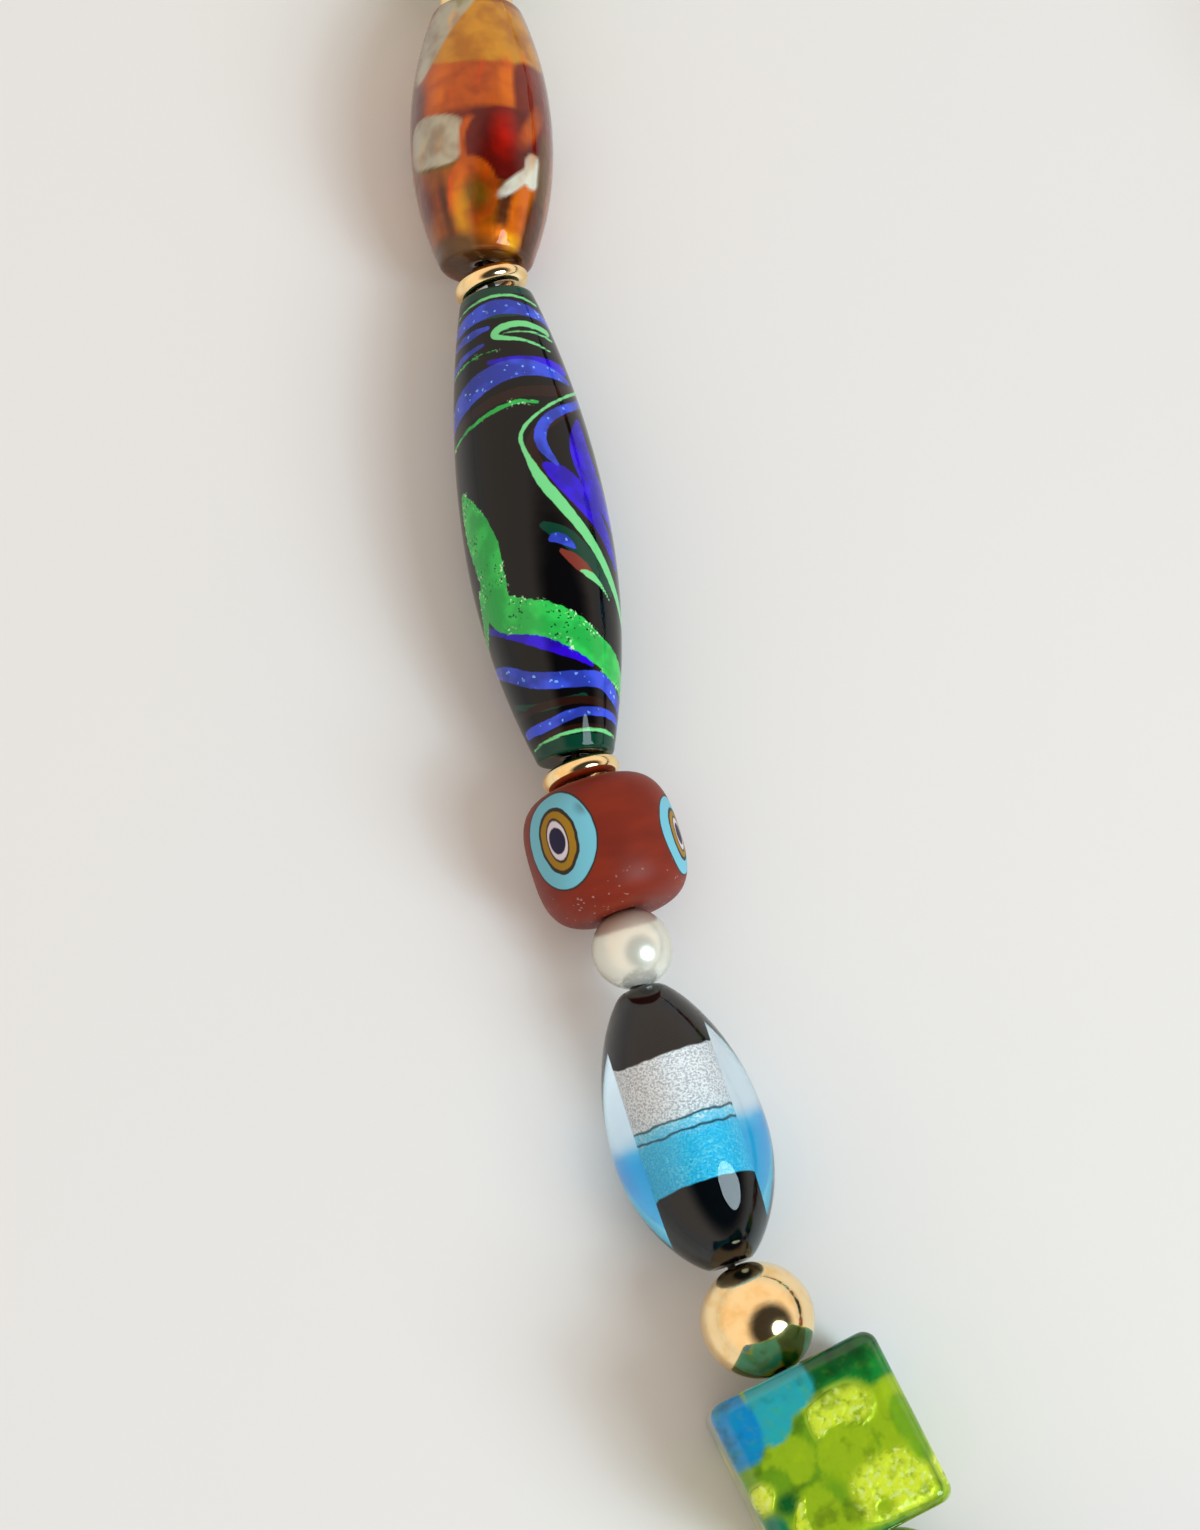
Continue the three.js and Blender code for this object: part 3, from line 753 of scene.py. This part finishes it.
def core_finish():
    """Bands along the thread: black, crinkled silver leaf, blue leaf with sparks, and black again; the leaf is painted
    lighter on its crests, and the sparks are painted glints.
    """
    finish = Finish("core_bands")
    along = finish.along() + (finish.noise(0.5, 2.0) * 0.8 - 0.4)
    crinkle = finish.noise(7.0, 5.0)
    flakes = finish.cells(6.5)
    # Painted highlights: silver and blue are whiter where the crinkle is high, where it also raises the relief.
    silver = finish.mix(rgb(196, 196, 202), rgb(254, 254, 254), crinkle.rises(0.38, 0.58))
    blue = finish.mix(rgb(124, 226, 250), rgb(200, 246, 255), crinkle.rises(0.4, 0.66))
    # Painted glints: pale sparks on the blue.
    blue = finish.mix(blue, rgb(250, 255, 255), flakes.rises(0.74, 0.84) * finish.noise(0.5, 1.0).rises(0.4, 0.6))
    leaf = along.rises(-4.7, -4.55) * along.rises(4.35, 4.2)
    colour = finish.mix(silver, blue, along.rises(-0.3, -0.1))
    for place in (-0.15, 0.65):
        line = along.rises(place - 0.14, place - 0.02) * along.rises(place + 0.14, place + 0.02)
        colour = finish.mix(colour, rgb(4, 40, 62), line * 0.85)
    colour = finish.mix(rgb(14, 11, 13), colour, leaf)
    return finish.surface(Base_Color=colour, Metallic=leaf * 0.4, Roughness=0.4, IOR=1.5,
                          Specular_IOR_Level=0.0, Normal=finish.bump(crinkle * leaf, 0.12))


def azure(finish):
    """Clear at the string's upper end, azure past the middle, with a soft border."""
    along = finish.along() + (finish.noise(0.35, 1.0) * 1.2 - 0.6)
    rim = finish.facing(0.5)
    above = finish.mix(rgb(255, 254, 254), rgb(196, 204, 244), rim.rises(0.8, 0.95))
    below = finish.mix(rgb(62, 206, 248), rgb(0, 150, 226), rim.rises(0.3, 0.7))
    return finish.mix(above, below, along.rises(-0.2, 1.4))


oval_points, oval_faces = turned(drilled(OVAL_SIDE, mouth=1.3, depth=0.35, step=0.36), SIDES["oval"])
core_points, core_faces = turned(core_outline(), SIDES["core"])
put_kind("core_oval", [(oval_points, oval_faces, {}), (core_points, core_faces, {})],
         [glass("clear_blue_glass", azure, rgb(248, 248, 248)), core_finish()], step=70)
print("core looks", round(2 * CORE_RADIUS * GLASS_IOR, 1), "mm wide")

# %% [markdown]
# ## Foil cube
# A rounded cube of clear glass over leaf in blues, greens and sparkling yellow. A cube can be carried round the thread
# too: the section is a square with rounded corners, which shrinks to a circle at the bore.

# %% Rounded cube
QUARTERS = [np.array(turn) for turn in ([[1, 0], [0, 1]], [[0, -1], [1, 0]], [[-1, 0], [0, -1]], [[0, 1], [-1, 0]])]


def square_ring(half, corner, steps):
    """Points and outward directions round a square with rounded corners: straight sides, and quarter arcs between."""
    reach = half - corner
    side = np.linspace(-reach, reach, steps, endpoint=False)
    arc = np.linspace(0, np.pi / 2, max(4, steps // 3), endpoint=False)
    point = np.vstack([np.stack([side, np.full(steps, half)], 1),
                       np.stack([reach + corner * np.sin(arc), reach + corner * np.cos(arc)], 1)])
    away = np.vstack([np.tile([0.0, 1.0], (steps, 1)), np.stack([np.sin(arc), np.cos(arc)], 1)])
    return np.vstack([point @ q for q in QUARTERS]), np.vstack([away @ q for q in QUARTERS])


def drilled_cube(length, width, corner, edge, bore, mouth, steps):
    """Rows of the grid: along the side, round the edge, in over the end to the mouth, and through the bore."""
    point, away = square_ring(width / 2, corner, steps)
    circle = point / np.linalg.norm(point, axis=1)[:, None]
    flat, end = length / 2 - edge, length / 2
    half = [(point, y) for y in np.linspace(0, flat, steps // 2, endpoint=False)]
    half += [(point - edge * (1 - math.cos(b)) * away, flat + edge * math.sin(b)) for b in np.linspace(0, np.pi / 2, 8)]
    inner = point - edge * away
    half += [(inner + (circle * (bore + mouth) - inner) * t, end) for t in np.linspace(0.08, 1, 14)]
    half += [(circle * (bore + mouth * (1 - math.sin(b))), end - mouth * (1 - math.cos(b)))
             for b in np.linspace(0.3, np.pi / 2, 5)]
    half += [(circle * bore, y) for y in (length / 4, length / 8)]
    rows = half + [(ring, -y) for ring, y in half[:0:-1]]
    points = np.vstack([np.column_stack([ring[:, 0], np.full(len(ring), y), ring[:, 1]]) for ring, y in rows])
    return points, closed_faces(len(rows), len(point))


LEAF_WIDTH = 11.9
cube_points, cube_faces = drilled_cube(length=12.6, width=12.7, corner=1.25, edge=1.0, bore=BORE, mouth=0.8, steps=18)
leaf_points, leaf_faces = drilled_cube(length=11.8, width=LEAF_WIDTH, corner=1.2, edge=0.9, bore=BORE + 0.25,
                                       mouth=0.3, steps=36)
print("glass and leaf of the cube:", len(cube_faces), "and", len(leaf_faces), "faces")

# %% Leaf of the cube
AZURE, CYAN, FOREST, LIME = rgb(8, 150, 222), rgb(50, 182, 200), rgb(4, 98, 40), rgb(255, 255, 72)
MOSS, GRASS, JADE, TEAL = rgb(182, 200, 28), rgb(134, 172, 26), rgb(14, 140, 52), rgb(10, 128, 106)
CUBE_LEAF = [
    (GRASS, -3.2, -1.0, (3.0, 2.4), {}), (MOSS, -2.9, -0.7, (1.9, 1.7), ROUND),
    (FOREST, 3.2, -5.1, (3.3, 2.3), {"corner": 3.4}), (JADE, 5.0, -3.7, (1.1, 1.0), {"corner": 2.0, "soft": 0.8}),
    (JADE, 2.8, -3.7, (1.7, 0.6), {"soft": 0.6}), (GRASS, -1.2, -2.8, (0.7, 1.6), {"tilt": -40}),
    (CYAN, -1.4, -5.0, (2.4, 1.7), {"tilt": -6}), (CYAN, -2.9, -3.5, (1.5, 1.4), ROUND),
    (AZURE, -5.2, -4.2, (1.6, 2.6), {"corner": 2.4}), (MOSS, 5.5, -0.3, (2.0, 2.5), ROUND),
    (GRASS, 6.0, 0.2, (1.4, 1.9), ROUND), (JADE, 6.3, 0.4, (0.5, 3.0), {"soft": 0.5}),
    (LIME, 1.9, -2.3, (2.1, 1.5), {"corner": 2.4, "soft": 0.8}),
    (LIME, 0.4, -1.9, (0.9, 1.2), {"corner": 2.0, "soft": 0.6}),
    (GRASS, 1.0, 0.5, (2.3, 2.0), ROUND), (MOSS, 1.0, 0.4, (2.15, 1.85), ROUND),
    (GRASS, -4.8, 1.0, (1.6, 2.0), {}), (LIME, -5.5, 0.7, (0.7, 0.9), {"tilt": 30, "soft": 0.5}),
    (FOREST, -4.2, 1.7, (0.8, 0.7), {"corner": 2.0, "soft": 0.5}), (MOSS, -1.2, 3.2, (2.4, 1.6), {}),
    (LIME, -3.7, 3.2, (0.6, 1.4), {"tilt": 24}), (GRASS, -1.0, 2.6, (0.8, 1.2), {"soft": 0.8}),
    (MOSS, -2.3, 3.7, (1.3, 2.1), {"corner": 2.2}), (LIME, 2.7, 3.8, (2.7, 2.2), {"corner": 2.4, "soft": 0.7}),
    (MOSS, 1.6, 4.7, (0.8, 0.6), {"corner": 2.0, "soft": 0.5}), (GRASS, 5.6, 2.4, (0.7, 0.9), {"soft": 0.5}),
    (TEAL, -5.8, 3.4, (1.0, 1.5), {"soft": 0.4}), (FOREST, 6.2, 4.4, (0.6, 2.0), {"soft": 0.6}),
    (JADE, 0.4, 6.1, (3.6, 0.5), {"soft": 0.5}),
]


def cube_paint(points, half):
    """The leaf of the upper side on all four sides round the thread, mirrored on every other side."""
    paint = np.tile(MOSS, (len(points), 1)).astype(float)
    for side in range(4):
        round_axis = round_way(90 * side)
        outward = np.cross(round_axis, [0, 1, 0])
        facing = points @ outward > np.abs(points @ round_axis) - 0.02
        patch = paint[facing]
        for colour, inward, along, size, how in CUBE_LEAF:
            inward = -inward if side % 2 else inward
            middle = outward * half + round_axis * inward + [0, along, 0]
            dab(patch, points[facing], colour, middle, round_axis, size, **how)
        paint[facing] = patch
    return paint


def cube_leaf_finish():
    """Crinkled leaf with painted shade, dark green in its creases, so its crests look brightest, and painted glints as
    sparks on the yellow.
    """
    finish = Finish("green_leaf")
    leaf = finish.paint()
    red = finish.node("SeparateColor", {}, {0: leaf})
    crinkle = finish.noise(1.5, 5.0)
    yellow = red.rises(0.5, 0.7)
    # Painted shade: dark olive where the crinkle, which also sets the relief, is low.
    colour = finish.mix(leaf, rgb(128, 160, 8), crinkle.rises(0.5, 0.3) * (0.15 + 0.45 * yellow))
    # Painted glints: pale sparks on the yellow.
    colour = finish.mix(colour, rgb(255, 255, 150), finish.noise(2.4, 3.0).rises(0.52, 0.66) * yellow * 0.85)
    colour = finish.mix(colour, rgb(84, 120, 50), finish.noise(0.6, 3.0).rises(0.5, 0.3) * 0.5, "MULTIPLY")
    colour = finish.mix(colour, rgb(220, 216, 90), finish.noise(0.9, 4.0).rises(0.5, 0.72) * 0.5, "SOFT_LIGHT")
    return finish.surface(Base_Color=colour, Metallic=0.3, Roughness=0.4 - 0.1 * yellow, Specular_IOR_Level=0.2,
                          Normal=finish.bump(crinkle * (0.25 + 0.75 * yellow), 0.14))


def sea_green(finish):
    """Nearly clear glass with a breath of green."""
    return finish.mix(rgb(244, 252, 248), rgb(228, 246, 234), finish.noise(0.2))


leaf_fields = {"paint": cube_paint(leaf_points, LEAF_WIDTH / 2)}
put_kind("foil_cube", [(cube_points, cube_faces, {}), (leaf_points, leaf_faces, leaf_fields)],
         [glass("green_foil_glass", sea_green, rgb(240, 248, 242)), cube_leaf_finish()], step=90)
print("patches a side:", len(CUBE_LEAF))

# %% [markdown]
# ## Pearls and gilt
# The pearls are imitation: glass beads dipped in a pearly lacquer, which glows softly; its darkening towards its edge
# is painted shade and sheen. The balls, rings and clasp are gilt: polished metal with a very thin gold layer, which is
# warm and pale because it mirrors the white plate.

# %% Pearl and gilt finishes
def pearl_finish():
    """Lacquer: cream, a little metallic, with grey-green painted at its edge as shade and sheen, and painted glitter in
    pale cells near one end of the bore.
    """
    finish = Finish("pearl")
    rim = finish.facing(0.45)
    # Painted shade and sheen: grey-green towards the rim.
    colour = finish.mix(rgb(240, 240, 228), rgb(196, 194, 176), rim)
    colour = finish.mix(colour, rgb(250, 244, 236), finish.noise(0.5, 1.0).rises(0.5, 0.7) * 0.4)
    # Painted glints: pale, smoother cells near one end of the bore, with relief of their own.
    glitter_cells = finish.cells(5.0).rises(0.5, 0.95) * finish.along().rises(1.9, 2.6)
    return finish.surface(Base_Color=finish.mix(colour, rgb(255, 255, 250), glitter_cells * 0.9), Metallic=0.45,
                          Roughness=0.26 - 0.1 * glitter_cells, Coat_Weight=0.6, Coat_Roughness=0.12,
                          Normal=finish.bump(finish.noise(6.0, 2.0) * 0.2 + glitter_cells, 0.03))


def gilt_finish():
    """Polished gilding with the faintest waves and a few dull places."""
    finish = Finish("gilt")
    wear = finish.noise(0.8, 4.0)
    colour = finish.mix(rgb(255, 226, 172), rgb(246, 204, 136), wear.rises(0.4, 0.75))
    return finish.surface(Base_Color=colour, Metallic=1.0, Roughness=0.06 + 0.08 * wear,
                          Normal=finish.bump(finish.noise(1.1, 2.0), 0.012))


RING_MIDDLE, RING_WIRE = 2.25, 0.75
pearl, gilt = pearl_finish(), gilt_finish()
pearl_grid = turned(drilled(arc_side(PEARL_RADIUS), mouth=BORE, depth=0.1, reach=0.08), SIDES["small"])
ball_grid = turned(drilled(arc_side(BALL_RADIUS), mouth=BORE, depth=0.1, reach=0.08, step=0.3), SIDES["ball"])
clasp_grid = turned(drilled(CLASP_SIDE, mouth=1, depth=0.4, reach=0.16, step=0.3), SIDES["small"])
wire = np.linspace(0, 2 * np.pi, 24, endpoint=False)
ring_grid = turned(np.stack([RING_MIDDLE + RING_WIRE * np.cos(wire), RING_WIRE * np.sin(wire)], axis=1), SIDES["small"])
put_kind("pearl", [(*pearl_grid, {})], [pearl], step=80)
put_kind("gilt_ball", [(*ball_grid, {})], [gilt], step=75)
put_kind("spacer_ring", [(*ring_grid, {})], [gilt], step=60)
put_piece("clasp", [(*clasp_grid, {})], [gilt])
print("clasp:", len(clasp_grid[1]), "faces")

# %% [markdown]
# ## The thread
# The thread shows only in the gaps. It is two plies twisted together, so its section is a figure of eight that turns
# as it goes along the string. Its ends are inside the clasp, so the string is cut open there.

# %% Twisted thread
PLY_RADIUS, TWIST = 0.31, 2.4
THREAD_STEPS, SECTION_POINTS = 1400, 12
LONGEST_GAP = 1.5


def thread_surface():
    """A section carried along the string from one end in the clasp to the other, and drawn in at both:
    radius = ply * (0.8 + 0.2 |cos(turn - twist * length)|)."""
    clasp_at = np.argmin(np.linalg.norm(string - places["clasp"]["centre"], axis=1))
    line = np.roll(string, -clasp_at, axis=0)
    if np.linalg.norm(line[1] - line[0]) < LONGEST_GAP:
        line = np.roll(line, -1, axis=0)
    length = np.concatenate([[0], np.cumsum(np.linalg.norm(np.diff(line, axis=0), axis=1))])
    at = np.linspace(0, length[-1], THREAD_STEPS)
    path = np.stack([np.interp(at, length, line[:, k]) for k in range(3)], axis=1)
    ahead = np.gradient(path, axis=0)
    ahead /= np.linalg.norm(ahead, axis=1)[:, None]
    side = np.cross([0, 0, 1], ahead)
    side /= np.linalg.norm(side, axis=1)[:, None]
    over = np.cross(ahead, side)
    turn = np.linspace(0, 2 * np.pi, SECTION_POINTS, endpoint=False)
    radius = PLY_RADIUS * (0.8 + 0.2 * np.abs(np.cos(turn[None] - TWIST * at[:, None])))
    radius[[0, -1]] *= 0.02
    ring = side[:, None] * (radius * np.cos(turn))[..., None] + over[:, None] * (radius * np.sin(turn))[..., None]
    points = (path[:, None] + ring).reshape(-1, 3)
    return points, closed_faces(len(path), SECTION_POINTS)[:-SECTION_POINTS]


def thread_finish():
    """Dark waxed cotton, with lighter fibres along the twist."""
    finish = Finish("thread")
    fibre = finish.object_noise(9000.0)
    colour = finish.mix(rgb(42, 36, 32), rgb(92, 82, 72), fibre.rises(0.4, 0.75))
    return finish.surface(Base_Color=colour, Roughness=0.75, Normal=finish.bump(fibre, 0.02))


thread_points, thread_faces = thread_surface()
thread_mesh = bpy.data.meshes.new("thread_twist")
caps = [list(range(SECTION_POINTS))[::-1], list(range(len(thread_points) - SECTION_POINTS, len(thread_points)))]
thread_mesh.from_pydata(thread_points * MM, [], [*thread_faces.tolist(), *caps])
thread_mesh.polygons.foreach_set("use_smooth", np.ones(len(thread_mesh.polygons), bool))
thread_mesh.materials.append(thread_finish())
thread_piece = bpy.data.objects.new("thread_twist", thread_mesh)
bpy.context.scene.collection.objects.link(thread_piece)
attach(thread_piece, "root")
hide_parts("thread")
print("thread:", len(thread_faces), "faces")

# %% [markdown]
# ## Plate and light
# The plate is plain and pale, with a soft shine. The highlights on the ball, the oval and the spindle all point to one
# lamp, on the right and a little to the near side, 40 degrees up. It is two ovals, one inside the other: the wide one
# softens the shadows, and the small one gives the gleam its bright middle. The walls that gloss mirrors are white all
# round, and dark only above the lamp, which keeps the black glass black and gives the gilt something to mirror.

# %% Plate
def plate_finish():
    """Pale glaze with the faintest unevenness."""
    finish = Finish("plate")
    cloud = finish.object_noise(14.0)
    colour = finish.mix(rgb(234, 234, 236), rgb(238, 238, 239), cloud)
    return finish.surface(Base_Color=colour, Roughness=0.34 + 0.06 * cloud, IOR=1.45)


PLATE_HALF = 2
corners = [(x * PLATE_HALF, y * PLATE_HALF, 0) for x, y in ((-1, -1), (1, -1), (1, 1), (-1, 1))]
plate_mesh = bpy.data.meshes.new("plate")
plate_mesh.from_pydata(corners, [], [(0, 1, 2, 3)])
plate_mesh.materials.append(plate_finish())
plate = bpy.data.objects.new("plate", plate_mesh)
bpy.context.scene.collection.objects.link(plate)
print("plate:", 2 * PLATE_HALF, "m wide")

# %% Light
VIEWED = np.array([-36.0, -25.0, 6.0])
KEY_WAY = np.array([0.69, -0.36, 0.66])
KEY_DISTANCE, KEY_WIDTH, KEY_HEIGHT, KEY_WATTS = 1000.0, 0.48, 0.62, 6.0
BULB_WIDTH, BULB_WATTS = 0.14, 0.9
LAMP_COLOUR = (0.73, 0.91, 1.0)
DARK_WAY = (0.42, -0.28, 0.86)
ROOM_STRENGTH = 1.04


def lamp(name, width, height, watts):
    """An oval lamp in the key light's direction, facing the necklace; it isn't seen through glass, only as a gleam."""
    made = bpy.data.objects.new(name, bpy.data.lights.new(name, "AREA"))
    made.data.shape, made.data.size, made.data.size_y = "ELLIPSE", width, height
    made.data.energy, made.data.color = watts, LAMP_COLOUR
    made.visible_transmission = False
    look_from(made, VIEWED + KEY_WAY / np.linalg.norm(KEY_WAY) * KEY_DISTANCE, VIEWED)
    bpy.context.scene.collection.objects.link(made)


lamp("window", KEY_WIDTH, KEY_HEIGHT, KEY_WATTS)
lamp("bulb", BULB_WIDTH, BULB_WIDTH, BULB_WATTS)


def room_light():
    """A pale dome, brightest overhead. Gloss mirrors white walls instead, and dark ones about DARK_WAY."""
    finish = Finish("room", bpy.data.worlds)
    way = finish.node("TexCoord", {}, output=0)
    height = finish.node("SeparateXYZ", {}, {0: way}, output=2)
    dark = finish.node("VectorMath", {"operation": "DOT_PRODUCT"}, {0: way, 1: DARK_WAY}, output=1)
    walls = finish.mix(rgb(227, 227, 226), rgb(253, 236, 218), height.rises(0.0, 0.4))
    walls = finish.mix(walls, rgb(58, 56, 56), dark.rises(0.56, 0.84))
    dome = finish.mix(rgb(136, 130, 122), rgb(218, 204, 190), height.rises(0.0, 0.6))
    colour = finish.mix(dome, walls, finish.node("LightPath", output=3))
    background = finish.node("Background", {}, {0: colour, 1: ROOM_STRENGTH})
    finish.node("OutputWorld", {}, {0: background})
    return finish.owner


bpy.context.scene.world = room_light()
bpy.context.scene.view_settings.view_transform = "Standard"
print("light:", KEY_WATTS, "W window and", BULB_WATTS, "W bulb,", KEY_DISTANCE, "mm away")
